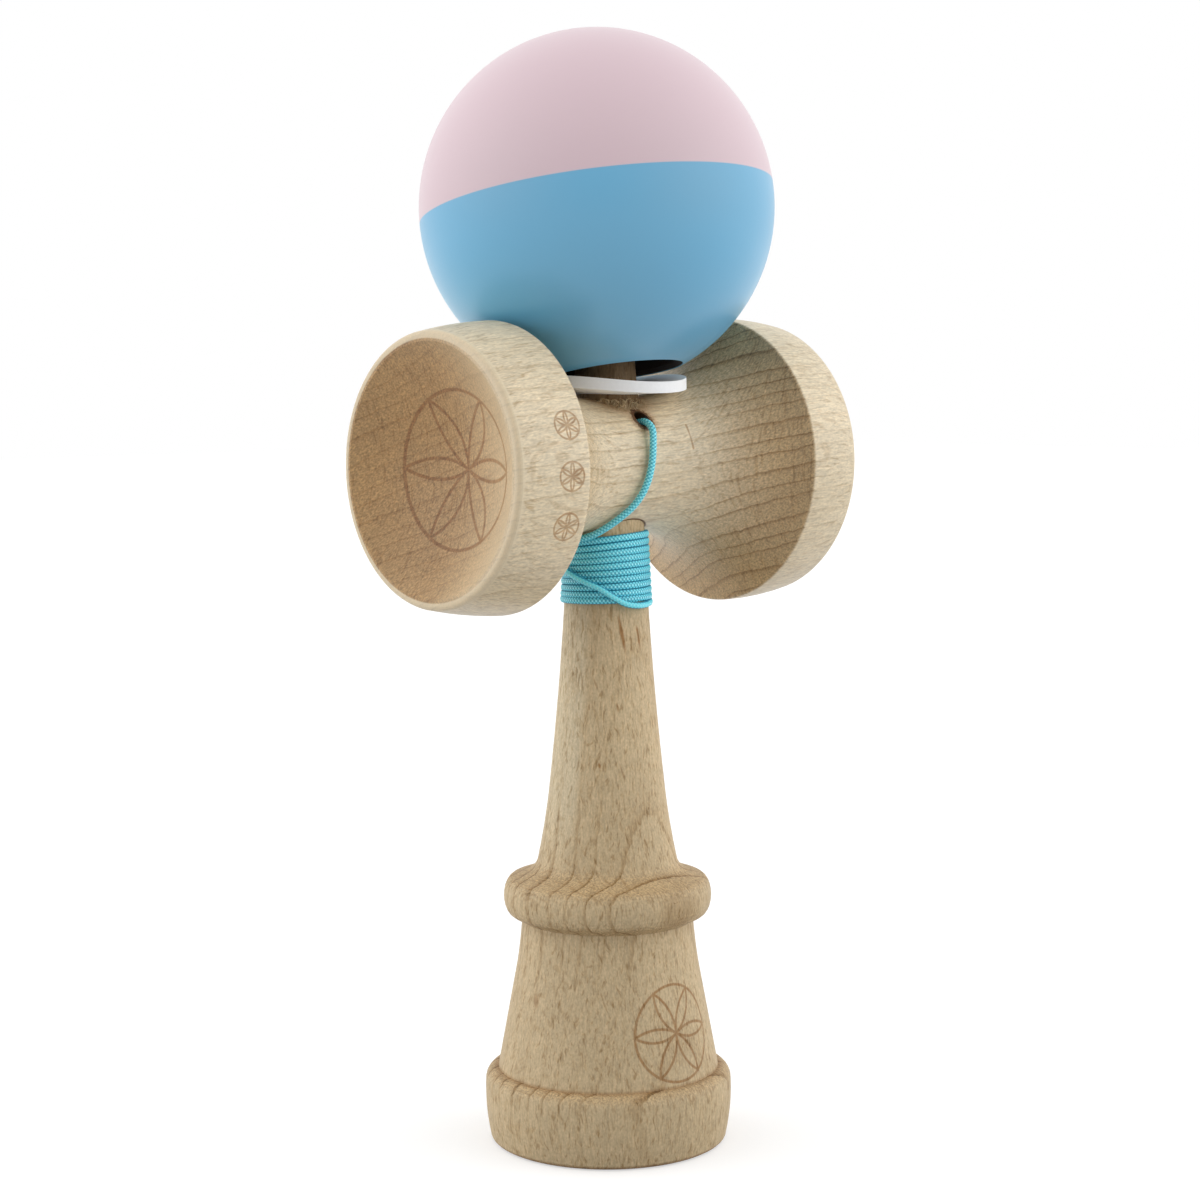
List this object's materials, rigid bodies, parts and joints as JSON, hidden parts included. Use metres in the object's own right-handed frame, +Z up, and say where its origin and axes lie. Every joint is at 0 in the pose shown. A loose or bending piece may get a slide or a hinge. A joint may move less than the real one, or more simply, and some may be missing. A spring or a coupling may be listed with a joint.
{
  "type": "kendama",
  "caption": "Wooden kendama: turned handle with spike and base cup, waisted cross-piece with a cup at each end, painted ball resting on the spike, and a string wound round the handle.",
  "frame": {"origin": "on the handle's axis, in the plane of the base rim", "axes": "+Z up along the handle to the spike, +X along the cross-piece from the small cup to the big cup, -Y towards the side where the string leaves the cross-piece"},
  "size_m": [0.0757, 0.0618, 0.1907],
  "materials": {
    "ken_wood": "bare, fine-sanded beech",
    "sarado_wood": "bare, fine-sanded beech",
    "ball_paint": "satin paint, pink above and sky blue below",
    "washer": "matte white",
    "bead_wood": "bare",
    "string": "braided turquoise cord"
  },
  "bodies": {
    "handle": {"ken": "ken_wood", "sarado": "sarado_wood", "spacer_ring": "washer", "ken_knot": "string", "string_lead": "string", "string_winding": "string", "string_rear": "string"},
    "tether": {"bead": "bead_wood", "bead_knot": "string", "string_end": "string"},
    "ball": {"tama": "ball_paint"}
  },
  "joints": [
    {"name": "tether_lift", "type": "slide", "parent": "handle", "child": "tether", "axis": [0, 0, 1], "range_m": [0, 0.045], "deforming": ["string_rear"]},
    {"name": "ball_spin", "type": "hinge", "parent": "tether", "child": "ball", "pos_m": [-0.0009, 0.00095, 0.16007], "axis": [0, 0.1736, 0.9848], "continuous": true}
  ]
}
